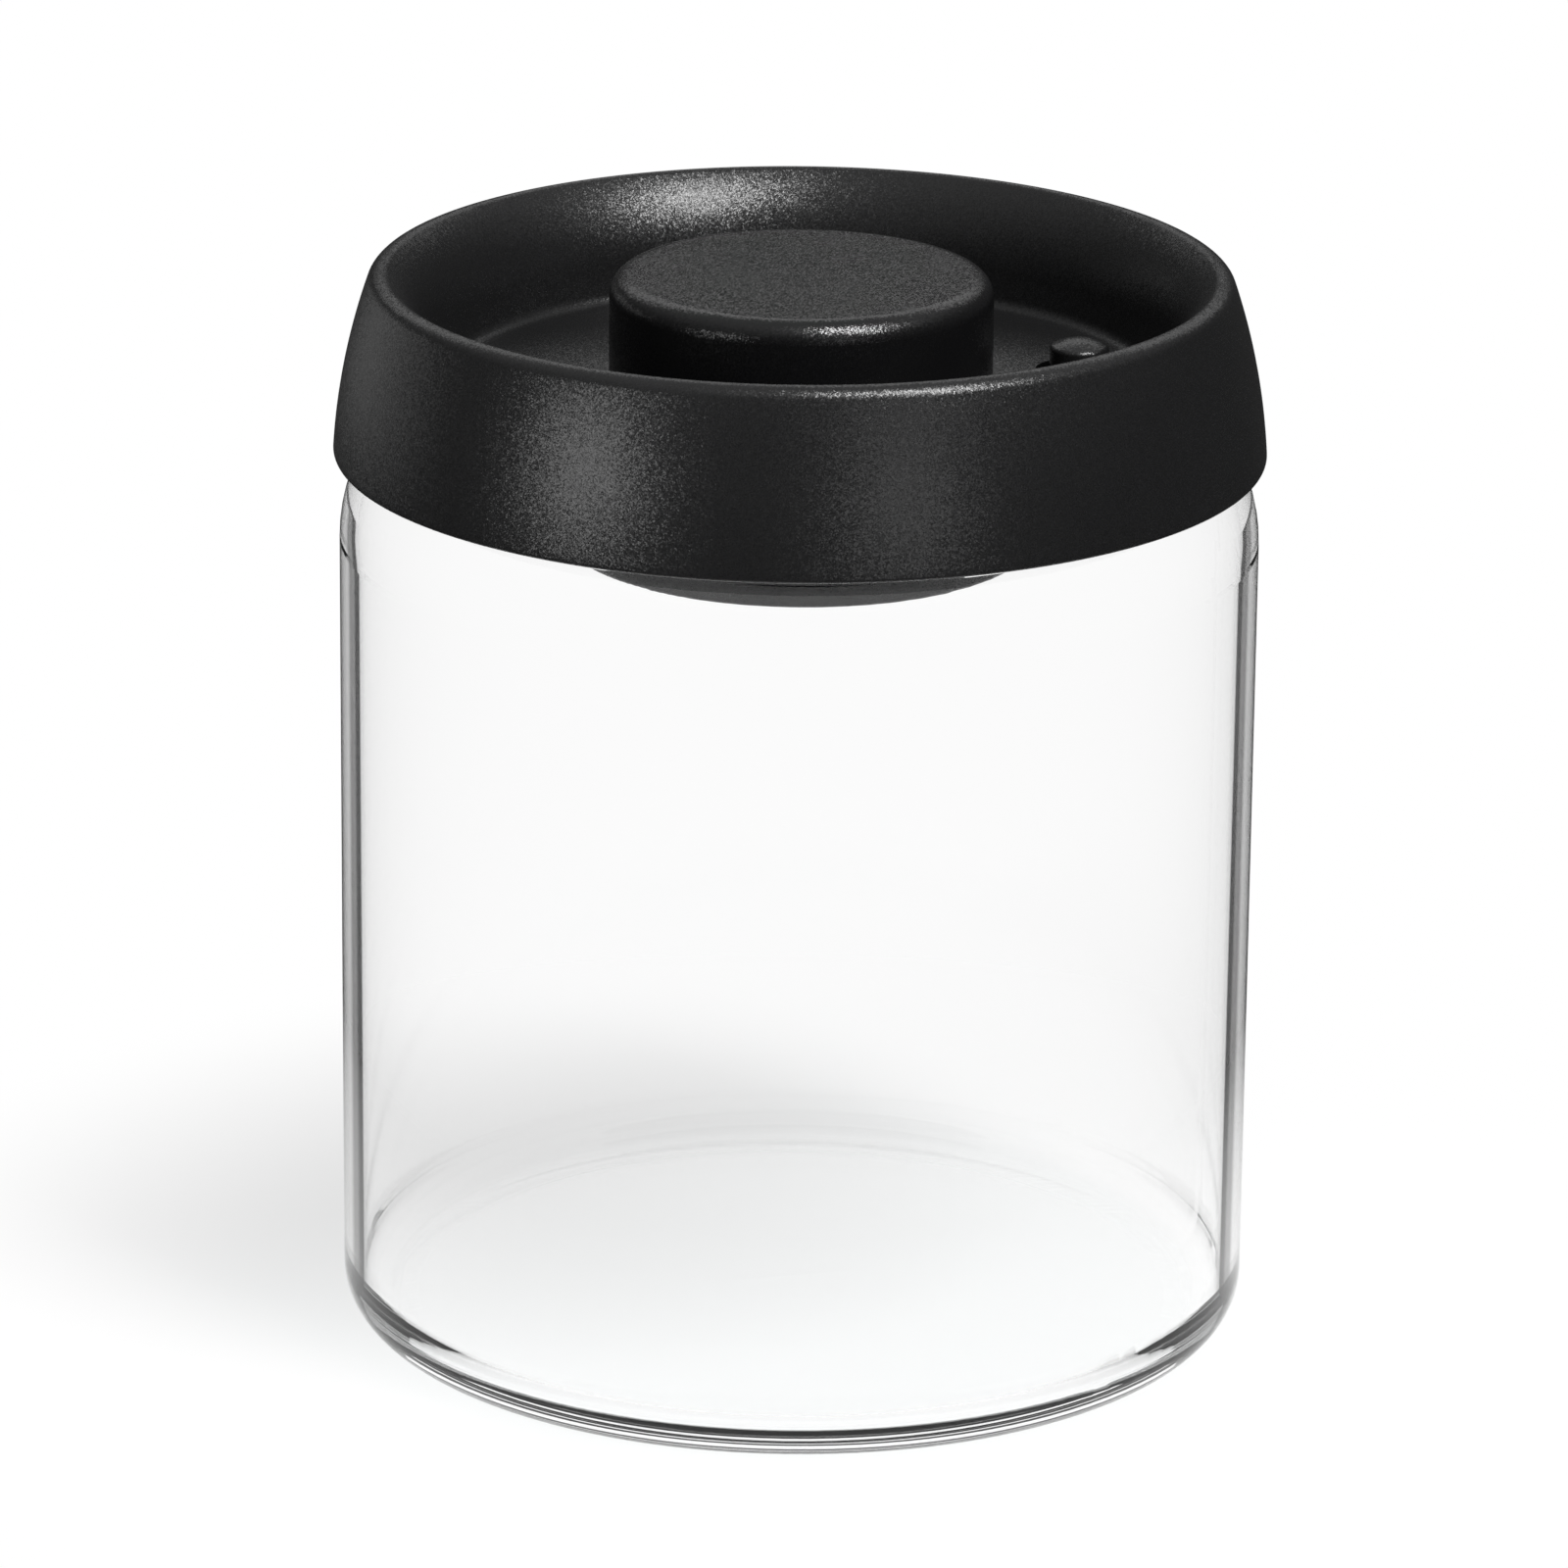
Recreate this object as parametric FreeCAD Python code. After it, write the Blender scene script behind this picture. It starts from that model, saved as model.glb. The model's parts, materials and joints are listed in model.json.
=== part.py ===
"""Vacuum seal canister: a glass jar under a push-on lid with a hand pump and a release button.

Frame: origin at the centre of the jar's base, +Z up along the jar's axis, +X towards the release
button. Lengths are millimetres, and every height below is measured from the jar's base.
"""
import FreeCAD
import Part
import math
import os

# Glass jar. Its neck takes its size from the lid's plug, and its body has a radius of its own.
JAR_HEIGHT = 112.0          # base to the top of the lip
JAR_RADIUS = 55.3           # outside of the straight wall
GLASS_WALL = 2.2
GLASS_FLOOR = 3.4           # thickness of the base where it stands
HEEL_RADIUS = 6.0           # outside round between wall and base
INNER_HEEL_RADIUS = 5.0
STAND_WIDTH = 3.3           # flat ring that the jar stands on
PUNT_RISE = 1.0             # how far the underside is pushed up in the middle
NECK_LENGTH = 2.0           # straight part of the neck under the lip
SHOULDER_RADIUS = 20.0      # outside round from wall to shoulder
NECK_ROUND = 2.5            # outside hollow round from shoulder to neck
LIP_ROUND = 0.8

# Lid cover
SKIRT_GAP = 1.7             # skirt edge to the outside of the jar's neck
SKIRT_DROP = 5.5            # skirt edge below the underside of the deck
SKIRT_WALL = 2.0
SKIRT_TILT = 3.8            # degrees that the skirt leans in at its edge
RIM_TILT = 19.2             # degrees that it leans in at the top, where the rim roll takes over
ROLL_RADIUS = 2.0           # rounded top of the rim
DISH_LIP = 5.0              # rounded lip from the rim's top into the dish
EDGE_ROUND = 0.5
DECK_THICKNESS = 2.2
DISH_DEPTH = 14.3           # deck below the top of the rim
DISH_TILT = 5.0             # degrees that the dish wall leans in under the lip
FOOT_TILT = 8.0             # degrees that it leans in above the deck
DISH_ROUND = 1.6            # round where the dish wall meets the deck
LEDGE_WIDTH = 4.0           # deck's underside reaches past the dish's foot to rest on the lid base
GROOVE_WIDTH = 3.4          # blind top of the groove between skirt and dish wall
GROOVE_DEPTH = 12.0         # groove height above the underside of the deck
GROOVE_BOW = 0.3            # bulge of the groove's inner side, along the back of the dish wall
SNAP_COUNT = 6
SNAP_ANGLE = 16.0           # degrees of arc that a snap lug covers
SNAP_BITE = 0.5             # overlap of a lug under the base flange
SNAP_HEIGHT = 1.6

# Lid base and its gasket
BASE_WALL = 1.8
RELEASE_BAY = 18.6          # ring of room between the pump cylinder and the plug's wall
PLUG_DEPTH = 7.8            # plug bottom below the underside of the deck
FLANGE_OVERHANG = 0.9       # base flange past the outside of the jar's neck
LIP_SEAL = 1.2              # gasket between the jar's lip and the base flange
SLEEVE_WALL = 1.2           # gasket round the plug
FIN_COUNT = 2
FIN_REACH = 1.0             # sealing fins stand out from the gasket's sleeve
FIN_TIP = 0.4
FIN_ROOT = 1.0
GASKET_CLEARANCE = 0.2      # fin tips to glass
BEAD_WIDTH = 0.8            # lip at the plug's foot that keeps the gasket on
BEAD_HEIGHT = 0.5

# Pump
KNOB_RADIUS = 23.0
KNOB_BELOW_RIM = 0.3
KNOB_WALL = 2.0
KNOB_TOP = 2.2
KNOB_ROUND = 2.6
KNOB_CLEARANCE = 0.25       # knob in the deck's bore
STROKE = 8.2
PISTON_STEP = 2.4           # cylinder bore radius is this much more than the knob's
PISTON_THICKNESS = 4.0
PISTON_CLEARANCE = 0.4
STOP_GAP = 0.3              # piston below the deck at rest
BOTTOM_GAP = 0.4            # piston above the cylinder floor when pressed
CYLINDER_WALL = 1.9
CYLINDER_FLOOR = 1.5
FLANGE_WIDTH = 2.0          # cylinder flange past the cylinder's wall
FLANGE_THICKNESS = 1.5
FLANGE_SEAL = 0.8           # flat gasket under the cylinder flange
BORE_GAP = 0.2              # cylinder in the lid base
SEAL_GROOVE = 3.3           # depth of the seal's groove in the piston
RING_FLANGE = 0.9           # thickness of the piston's two rims beside the groove
SEAL_CLEARANCE = 0.15       # piston seal's lip to the bore
SEAL_LIP = 0.7

# Return spring and the piston's spring housing
SPRING_WIRE = 1.1
SPRING_RADIUS = 8.4         # to the middle of the wire
SPRING_TURNS = 8
SPRING_CLOSE = 0.4          # share by which the pitch tightens at both ends
SPRING_SIDE_GAP = 0.8
SPRING_END_GAP = 0.05
HOUSING_WALL = 1.5
HOUSING_HEADROOM = 0.5      # spring housing below the knob's inside

# Inlet valve and the guard cap below it
VALVE_RADIUS = 5.5
VALVE_HEIGHT = 1.4
VALVE_EDGE = 0.5
VALVE_STEM = 1.3
VALVE_BULB = 2.0
BULB_HEIGHT = 1.0
BULB_ROOM = 0.6             # valve bulb to the guard
VALVE_FIT = 0.05
PORT_COUNT = 5
PORT_RADIUS = 0.8
PORT_CIRCLE = 3.2
GUARD_HEIGHT = 2.65         # outside of the guard's rim
GUARD_FLOOR = 1.0
GUARD_PROUD = 0.6           # guard's rim stands out past the cylinder
GUARD_FIT = 0.05
GUARD_ROUND = 0.6
SPIGOT_STEP = 1.0           # spigot under the guard's rim, inside the cylinder's outer wall
SPIGOT_WALL = 1.6
GUARD_HOLE = 0.9
GUARD_RINGS = 4
GUARD_RING_HOLES = 6        # holes in the first ring, and more by this in each next one
GUARD_RING_PITCH = 5.0

# Screws
SCREW_RADIUS = 1.0
SCREW_FIT = 0.05
SCREW_HEAD_RADIUS = 2.0
SCREW_HEAD_HEIGHT = 1.4
SCREW_LENGTH = 6.5
SCREW_SLOT = 0.7
SCREW_SLOT_DEPTH = 0.6
EAR_COUNT = 4
EAR_RADIUS = 2.9
EAR_GAP = 0.2               # boss of an ear to the rim of the cylinder's flange
BOSS_FLOOR = 1.2
PILLAR_COUNT = 3
PILLAR_RADIUS = 2.7
PILLAR_RIB = 1.2
PILLAR_GAP = 1.0            # knob screw pillar to the spring housing

# Release valve
RELEASE_GAP = 7.4           # release axis past the cylinder's wall
BUTTON_RADIUS = 3.6
BUTTON_RISE = 3.9           # top of the button above the deck
BUTTON_DOME = 0.7
BUTTON_ROUND = 0.7
BUTTON_BEND = 75.0          # degrees of that round before the dome takes over
BUTTON_CLEARANCE = 0.2
BUTTON_WALL = 0.7
BUTTON_FLANGE = 0.8
BUTTON_FLANGE_HEIGHT = 1.2
WELL_RADIUS = 5.3
WELL_DEPTH = 0.9
STEM_RADIUS = 1.1
STEM_FIT = 0.03
STEM_SOCKET = 0.8
STEM_HEAD_RADIUS = 1.9
STEM_HEAD_HEIGHT = 0.8
AIR_GAP = 0.6               # stem in the vent hole of the lid base
POPPET_RADIUS = 3.4
POPPET_TAPER = 1.0
POPPET_HEIGHT = 1.8
RELEASE_WIRE = 0.5
RELEASE_COIL = 2.2          # to the middle of the wire
RELEASE_TURNS = 6
RELEASE_CLOSE = 0.2

# Radii that follow from the sizes above, from the pump outwards
deck_bore = KNOB_RADIUS + KNOB_CLEARANCE
cylinder_bore = KNOB_RADIUS + PISTON_STEP
cylinder_radius = cylinder_bore + CYLINDER_WALL
piston_radius = cylinder_bore - PISTON_CLEARANCE
base_bore = cylinder_radius + BORE_GAP
ear_circle = cylinder_radius + FLANGE_WIDTH + EAR_GAP + EAR_RADIUS
housing_bore = SPRING_RADIUS + SPRING_WIRE / 2 + SPRING_SIDE_GAP
pillar_circle = housing_bore + HOUSING_WALL + PILLAR_GAP + PILLAR_RADIUS
spigot_radius = cylinder_radius - SPIGOT_STEP
release_x = cylinder_radius + RELEASE_GAP
plug_bore = cylinder_radius + RELEASE_BAY
plug_radius = plug_bore + BASE_WALL
neck_bore = plug_radius + SLEEVE_WALL + FIN_REACH + GASKET_CLEARANCE
neck_radius = neck_bore + GLASS_WALL
flange_radius = neck_radius + FLANGE_OVERHANG
lid_radius = neck_radius + SKIRT_GAP + SKIRT_WALL

# Heights that follow from the sizes above
flange_under = JAR_HEIGHT + LIP_SEAL
deck_under = flange_under + BASE_WALL
deck_top = deck_under + DECK_THICKNESS
rim_top = deck_top + DISH_DEPTH
skirt_edge = deck_under - SKIRT_DROP
plug_foot = deck_under - PLUG_DEPTH
base_floor = plug_foot + BASE_WALL
flange_bottom = base_floor + FLANGE_SEAL
flange_top = flange_bottom + FLANGE_THICKNESS
piston_top = deck_under - STOP_GAP
piston_foot = piston_top - PISTON_THICKNESS
chamber_floor = piston_foot - STROKE - BOTTOM_GAP
floor_under = chamber_floor - CYLINDER_FLOOR
spigot_foot = floor_under - BULB_HEIGHT - BULB_ROOM
guard_foot = spigot_foot - GUARD_FLOOR
guard_top = guard_foot + GUARD_HEIGHT
knob_top = rim_top - KNOB_BELOW_RIM
knob_ceiling = knob_top - KNOB_TOP
housing_top = knob_ceiling - HOUSING_HEADROOM
housing_ceiling = housing_top - HOUSING_WALL
button_top = deck_top + BUTTON_RISE
button_flange_top = deck_under - STOP_GAP
button_ceiling = button_top - BUTTON_DOME - STEM_SOCKET - BUTTON_WALL

Z_AXIS = FreeCAD.Vector(0, 0, 1)
ORIGIN = FreeCAD.Vector(0, 0, 0)


# Drawing helpers
def at(r, z):
    """Point of the half-section plane: radius r at height z."""
    return FreeCAD.Vector(r, 0, z)


def bowed(start, end, bow):
    """Middle point of an arc from start to end that bulges by bow to the right of the way it goes."""
    chord = end - start
    side = FreeCAD.Vector(chord.z, 0, -chord.x).normalize()
    return (start + end) * 0.5 + side * bow


class Section:
    """Closed outline in the half-section plane, drawn edge by edge and turned about Z."""

    def __init__(self, r, z):
        self.first = at(r, z)
        self.last = at(r, z)
        self.edges = []

    def line(self, r, z):
        """Straight edge to (r, z)."""
        self.edges.append(Part.LineSegment(self.last, at(r, z)).toShape())
        self.last = at(r, z)
        return self

    def arc(self, r, z, bow):
        """Arc to (r, z) that bulges by bow to the right of the way it goes."""
        end = at(r, z)
        self.edges.append(Part.Arc(self.last, bowed(self.last, end, bow), end).toShape())
        self.last = end
        return self

    def turn(self, centre_r, centre_z, degrees):
        """Arc about a centre, through degrees, where positive turns from radius towards height."""
        spoke = self.last - at(centre_r, centre_z)

        def point(angle):
            c = math.cos(math.radians(angle))
            s = math.sin(math.radians(angle))
            return at(centre_r + spoke.x * c - spoke.z * s, centre_z + spoke.x * s + spoke.z * c)

        end = point(degrees)
        self.edges.append(Part.Arc(self.last, point(degrees / 2), end).toShape())
        self.last = end
        return self

    def bend(self, radius, degrees):
        """Arc that carries on smoothly from the last edge: to the left, or right if both are negative."""
        edge = self.edges[-1]
        heading = edge.tangentAt(edge.LastParameter)
        return self.turn(self.last.x - heading.z * radius, self.last.z + heading.x * radius, degrees)

    def dome(self, z):
        """Round cap to the axis at height z, as part of a sphere."""
        rise = z - self.last.z
        sphere = (self.last.x ** 2 + rise ** 2) / (2 * rise)
        half_angle = math.degrees(math.asin(self.last.x / sphere))
        return self.turn(0, z - sphere, half_angle)

    def solid(self):
        """Solid of one full turn about Z."""
        if self.last.distanceToPoint(self.first) > 1e-9:
            self.edges.append(Part.LineSegment(self.last, self.first).toShape())
        face = Part.Face(Part.Wire(self.edges))
        return face.revolve(ORIGIN, Z_AXIS, 360)


def ring(inner, outer, bottom, top):
    """Plain ring, or a disc where inner is 0."""
    return Section(inner, bottom).line(outer, bottom).line(outer, top).line(inner, top).solid()


def rod(radius, bottom, top, x=0.0, y=0.0):
    """Upright cylinder between two heights."""
    return Part.makeCylinder(radius, top - bottom, FreeCAD.Vector(x, y, bottom), Z_AXIS)


def around(shape, count, start=0.0):
    """Copies of a shape, evenly spaced about Z, the first turned by start degrees."""
    copies = []
    for index in range(count):
        copy = shape.copy()
        copy.rotate(ORIGIN, Z_AXIS, start + index * 360.0 / count)
        copies.append(copy)
    return copies


def moved(shape, x):
    """The shape, carried along X."""
    shape.translate(FreeCAD.Vector(x, 0, 0))
    return shape


def arc_from_tangent(start, tangent, end):
    """Arc edge that leaves start along tangent and ends at end."""
    chord = end - start
    across = chord - tangent * chord.dot(tangent)
    across.normalize()
    radius = chord.dot(chord) / (2 * chord.dot(across))
    centre = start + across * radius
    outward = (start - centre) + (end - centre)
    outward.normalize()
    return Part.Arc(start, centre + outward * radius, end).toShape()


def biarc(start, start_tangent, end, end_tangent):
    """Two arcs that join start to end and keep both tangents."""
    chord = end - start
    tangents = start_tangent + end_tangent
    along = chord.dot(tangents)
    spread = 2 * (1 - start_tangent.dot(end_tangent))
    reach = (-along + math.sqrt(along * along + spread * chord.dot(chord))) / spread
    middle = (start + end + (start_tangent - end_tangent) * reach) * 0.5
    first = arc_from_tangent(start, start_tangent, middle)
    second = arc_from_tangent(end, end_tangent * -1, middle)
    return first, second


def coil_spring(name, wire, radius, bottom, top, turns, close):
    """Open coil spring between two heights, one tube, with a pitch that tightens at both ends."""
    low = bottom + wire / 2
    rise = top - bottom - wire
    steps = turns * 2

    def point(share):
        angle = 2 * math.pi * turns * share
        height = low + rise * (share - close * math.sin(2 * math.pi * share) / (2 * math.pi))
        return FreeCAD.Vector(radius * math.cos(angle), radius * math.sin(angle), height)

    def tangent(share):
        angle = 2 * math.pi * turns * share
        speed = 2 * math.pi * turns * radius
        climb = rise * (1 - close * math.cos(2 * math.pi * share))
        return FreeCAD.Vector(-speed * math.sin(angle), speed * math.cos(angle), climb).normalize()

    edges = []
    for step in range(steps):
        here = step / steps
        there = (step + 1) / steps
        edges += biarc(point(here), tangent(here), point(there), tangent(there))
    path = Part.Wire(edges)
    circle = Part.Wire(Part.Circle(point(0), tangent(0), wire / 2).toShape())
    sweep = Part.BRepOffsetAPI.MakePipeShell(path)
    sweep.add(circle)
    sweep.build()
    sweep.makeSolid()
    samples = 24
    track = [point(i / (samples * turns)) for i in range(samples * turns + 1)]
    apart = min(
        a.distanceToPoint(b)
        for i, a in enumerate(track)
        for b in track[i + samples // 2:]
    )
    print(f"{name}: least gap between turns {apart - wire:.2f} mm")
    return sweep.shape()


def screw(head_seat, up):
    """Slotted pan-head screw on the Z axis, its head on head_seat, its shank going up or down."""
    way = 1 if up else -1
    shank_end = head_seat + way * SCREW_LENGTH
    head_end = head_seat - way * SCREW_HEAD_HEIGHT
    shank = rod(SCREW_RADIUS, min(head_seat, shank_end), max(head_seat, shank_end))
    head = rod(SCREW_HEAD_RADIUS, min(head_seat, head_end), max(head_seat, head_end))
    slot_low = head_end if up else head_end - SCREW_SLOT_DEPTH
    slot = Part.makeBox(
        2 * SCREW_HEAD_RADIUS,
        SCREW_SLOT,
        SCREW_SLOT_DEPTH,
        FreeCAD.Vector(-SCREW_HEAD_RADIUS, -SCREW_SLOT / 2, slot_low),
    )
    return head.cut(slot).fuse(shank).removeSplitter()


# Pieces of the jar
def make_jar():
    """Blown glass jar: rounded heel, straight wall, shoulder and short neck.

    The shoulder is an S of two arcs. It steps in to the neck beside the plug, or, on a body that is
    narrower than the neck, out to it below the plug.
    """
    inset = JAR_RADIUS - neck_radius
    inwards = math.copysign(1, inset)
    bend = SHOULDER_RADIUS + NECK_ROUND
    shoulder_angle = math.acos(1 - abs(inset) / bend)
    shoulder = inwards * math.degrees(shoulder_angle)
    shoulder_centre = JAR_RADIUS - inwards * SHOULDER_RADIUS
    neck_centre = neck_radius + inwards * NECK_ROUND
    neck_foot = JAR_HEIGHT - NECK_LENGTH if inset > 0 else plug_foot - GASKET_CLEARANCE
    shoulder_foot = neck_foot - bend * math.sin(shoulder_angle)
    bore = JAR_RADIUS - GLASS_WALL
    stand_outer = JAR_RADIUS - HEEL_RADIUS
    punt_radius = stand_outer - STAND_WIDTH
    punt_sphere = (punt_radius ** 2 + PUNT_RISE ** 2) / (2 * PUNT_RISE)
    punt_half_angle = math.degrees(math.asin(punt_radius / punt_sphere))
    outline = Section(0, PUNT_RISE)
    outline.turn(0, PUNT_RISE - punt_sphere, -punt_half_angle)
    outline.line(stand_outer, 0)
    outline.turn(stand_outer, HEEL_RADIUS, 90)
    outline.line(JAR_RADIUS, shoulder_foot)
    outline.turn(shoulder_centre, shoulder_foot, shoulder)
    outline.turn(neck_centre, neck_foot, -shoulder)
    outline.line(neck_radius, JAR_HEIGHT - LIP_ROUND)
    outline.turn(neck_radius - LIP_ROUND, JAR_HEIGHT - LIP_ROUND, 90)
    outline.line(neck_bore + LIP_ROUND, JAR_HEIGHT)
    outline.turn(neck_bore + LIP_ROUND, JAR_HEIGHT - LIP_ROUND, 90)
    outline.line(neck_bore, neck_foot)
    outline.turn(neck_centre, neck_foot, shoulder)
    outline.turn(shoulder_centre, shoulder_foot, -shoulder)
    outline.line(bore, GLASS_FLOOR + INNER_HEEL_RADIUS)
    outline.turn(bore - INNER_HEEL_RADIUS, GLASS_FLOOR + INNER_HEEL_RADIUS, -90)
    outline.dome(GLASS_FLOOR + PUNT_RISE)
    return outline.solid()


# Pieces of the lid
def make_lid_cover():
    """Moulded cover: bowed skirt, rolled rim, dished middle, deck with knob bore and button well."""
    tilt = math.radians(SKIRT_TILT)
    rim_tilt = math.radians(RIM_TILT)
    dish_tilt = math.radians(DISH_TILT)
    foot_tilt = math.radians(FOOT_TILT)
    edge_z = skirt_edge + EDGE_ROUND
    wall_top_z = rim_top - ROLL_RADIUS * (1 - math.sin(rim_tilt))
    wall_rise = wall_top_z - edge_z - EDGE_ROUND * math.sin(tilt)
    wall_radius = wall_rise / (math.sin(rim_tilt) - math.sin(tilt))
    centre_r = lid_radius - EDGE_ROUND - (wall_radius - EDGE_ROUND) * math.cos(tilt)
    centre_z = edge_z - (wall_radius - EDGE_ROUND) * math.sin(tilt)
    dish_fall = DISH_DEPTH - DISH_LIP * (1 - math.sin(dish_tilt)) - DISH_ROUND * (1 - math.sin(foot_tilt))
    dish_radius = dish_fall / (math.sin(foot_tilt) - math.sin(dish_tilt))
    groove_z = deck_under + GROOVE_DEPTH
    groove_angle = math.asin((groove_z - centre_z) / (wall_radius - SKIRT_WALL))
    groove_r = centre_r + (wall_radius - SKIRT_WALL) * math.cos(groove_angle)
    outline = Section(lid_radius - EDGE_ROUND, skirt_edge)
    outline.turn(lid_radius - EDGE_ROUND, edge_z, 90 + SKIRT_TILT)
    outline.bend(wall_radius, RIM_TILT - SKIRT_TILT)
    outline.bend(ROLL_RADIUS, 90 - RIM_TILT)
    outline.bend(DISH_LIP, 90 - DISH_TILT)
    outline.bend(-dish_radius, DISH_TILT - FOOT_TILT)
    outline.bend(-DISH_ROUND, FOOT_TILT - 90)
    foot_r = outline.last.x
    outline.line(deck_bore + EDGE_ROUND, deck_top)
    outline.turn(deck_bore + EDGE_ROUND, deck_top - EDGE_ROUND, 90)
    outline.line(deck_bore, deck_under)
    outline.line(foot_r + LEDGE_WIDTH, deck_under)
    outline.arc(groove_r - GROOVE_WIDTH, groove_z, GROOVE_BOW)
    outline.arc(groove_r, groove_z, -GROOVE_WIDTH / 3)
    outline.turn(centre_r, centre_z, SKIRT_TILT - math.degrees(groove_angle))
    outline.line(lid_radius - SKIRT_WALL + EDGE_ROUND, skirt_edge)
    cover = outline.solid()
    lug = ring(flange_radius - SNAP_BITE, lid_radius - SKIRT_WALL, flange_under - SNAP_HEIGHT, flange_under)
    wedge = Part.makeCylinder(
        lid_radius, SNAP_HEIGHT, FreeCAD.Vector(0, 0, flange_under - SNAP_HEIGHT), Z_AXIS, SNAP_ANGLE
    )
    cover = cover.fuse(around(lug.common(wedge), SNAP_COUNT, -SNAP_ANGLE / 2))
    well = rod(WELL_RADIUS, deck_top - WELL_DEPTH, deck_top, release_x)
    hole = rod(BUTTON_RADIUS + BUTTON_CLEARANCE, deck_under, deck_top, release_x)
    return cover.cut([well, hole]).removeSplitter()


def make_lid_base():
    """Inner moulding: flange over the jar's lip, plug into its neck, floor with blind screw bosses."""
    outline = Section(base_bore, plug_foot)
    outline.line(plug_radius + BEAD_WIDTH, plug_foot)
    outline.line(plug_radius + BEAD_WIDTH, plug_foot + BEAD_HEIGHT)
    outline.line(plug_radius, plug_foot + BEAD_HEIGHT)
    outline.line(plug_radius, flange_under)
    outline.line(flange_radius, flange_under)
    outline.line(flange_radius, deck_under)
    outline.line(plug_bore, deck_under)
    outline.line(plug_bore, base_floor)
    outline.line(base_bore, base_floor)
    base = outline.solid()
    shank_end = flange_top - SCREW_LENGTH
    boss = rod(EAR_RADIUS, shank_end - BOSS_FLOOR, flange_bottom, ear_circle)
    pilot = rod(SCREW_RADIUS + SCREW_FIT, shank_end, flange_bottom, ear_circle)
    vent = rod(STEM_RADIUS + AIR_GAP, plug_foot, base_floor, release_x)
    base = base.fuse(around(boss, EAR_COUNT, 180.0 / EAR_COUNT))
    return base.cut(around(pilot, EAR_COUNT, 180.0 / EAR_COUNT) + [vent]).removeSplitter()


def make_lid_gasket():
    """Silicone gasket: a flat land on the jar's lip and a sleeve round the plug with sealing fins."""
    sleeve = plug_radius + SLEEVE_WALL
    tip = sleeve + FIN_REACH
    foot = plug_foot + BEAD_HEIGHT
    fin_height = FIN_ROOT + FIN_TIP
    fin_pitch = (JAR_HEIGHT - foot + fin_height) / (FIN_COUNT + 1)
    outline = Section(plug_radius, foot)
    outline.line(sleeve, foot)
    for index in range(1, FIN_COUNT + 1):
        root = foot + index * fin_pitch - fin_height
        outline.line(sleeve, root)
        outline.line(tip, root + FIN_ROOT)
        outline.line(tip, root + fin_height)
        outline.line(sleeve, root + fin_height)
    outline.line(sleeve, JAR_HEIGHT)
    outline.line(neck_radius, JAR_HEIGHT)
    outline.line(neck_radius, flange_under)
    outline.line(plug_radius, flange_under)
    return outline.solid()


# Pieces of the pump
def make_pump_cylinder():
    """Pump cylinder: bore for the piston, ported floor, spigot for the guard, flange with four ears."""
    spigot_bore = spigot_radius - SPIGOT_WALL
    outline = Section(spigot_bore, spigot_foot)
    outline.line(spigot_radius, spigot_foot)
    outline.line(spigot_radius, guard_top)
    outline.line(cylinder_radius, guard_top)
    outline.line(cylinder_radius, flange_bottom)
    outline.line(cylinder_radius + FLANGE_WIDTH, flange_bottom)
    outline.line(cylinder_radius + FLANGE_WIDTH, flange_top)
    outline.line(cylinder_radius, flange_top)
    outline.line(cylinder_radius, deck_under)
    outline.line(cylinder_bore, deck_under)
    outline.line(cylinder_bore, chamber_floor)
    outline.line(0, chamber_floor)
    outline.line(0, floor_under)
    outline.line(spigot_bore, floor_under)
    cylinder = outline.solid()
    ear = rod(EAR_RADIUS, flange_bottom, flange_top, ear_circle)
    web = Part.makeBox(
        ear_circle - cylinder_radius,
        2 * EAR_RADIUS,
        FLANGE_THICKNESS,
        FreeCAD.Vector(cylinder_radius, -EAR_RADIUS, flange_bottom),
    )
    ear = ear.fuse(web).cut(rod(cylinder_bore, flange_bottom, flange_top))
    hole = rod(SCREW_RADIUS + 2 * SCREW_FIT, flange_bottom, flange_top, ear_circle)
    cylinder = cylinder.fuse(around(ear, EAR_COUNT, 180.0 / EAR_COUNT))
    holes = around(hole, EAR_COUNT, 180.0 / EAR_COUNT)
    holes += around(rod(PORT_RADIUS, floor_under, chamber_floor, PORT_CIRCLE), PORT_COUNT)
    holes.append(rod(VALVE_STEM + VALVE_FIT, floor_under, chamber_floor))
    return cylinder.cut(holes).removeSplitter()


def make_cylinder_gasket():
    """Flat silicone ring that seals the cylinder's flange to the lid base."""
    return ring(base_bore, cylinder_radius + FLANGE_WIDTH, base_floor, flange_bottom)


def make_cylinder_screws():
    """Screws through the cylinder's ears into the blind bosses of the lid base."""
    one = moved(screw(flange_top, up=False), ear_circle)
    return Part.Compound(around(one, EAR_COUNT, 180.0 / EAR_COUNT))


def make_inlet_valve():
    """Silicone umbrella valve: a thin dome over the ports, its stem pulled through the floor."""
    outline = Section(0, floor_under - BULB_HEIGHT)
    outline.line(VALVE_STEM, floor_under - BULB_HEIGHT)
    outline.arc(VALVE_BULB, floor_under, VALVE_FIT)
    outline.line(VALVE_STEM, floor_under)
    outline.line(VALVE_STEM, chamber_floor)
    outline.line(VALVE_RADIUS, chamber_floor)
    outline.line(VALVE_RADIUS, chamber_floor + VALVE_EDGE)
    outline.dome(chamber_floor + VALVE_HEIGHT)
    return outline.solid()


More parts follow.
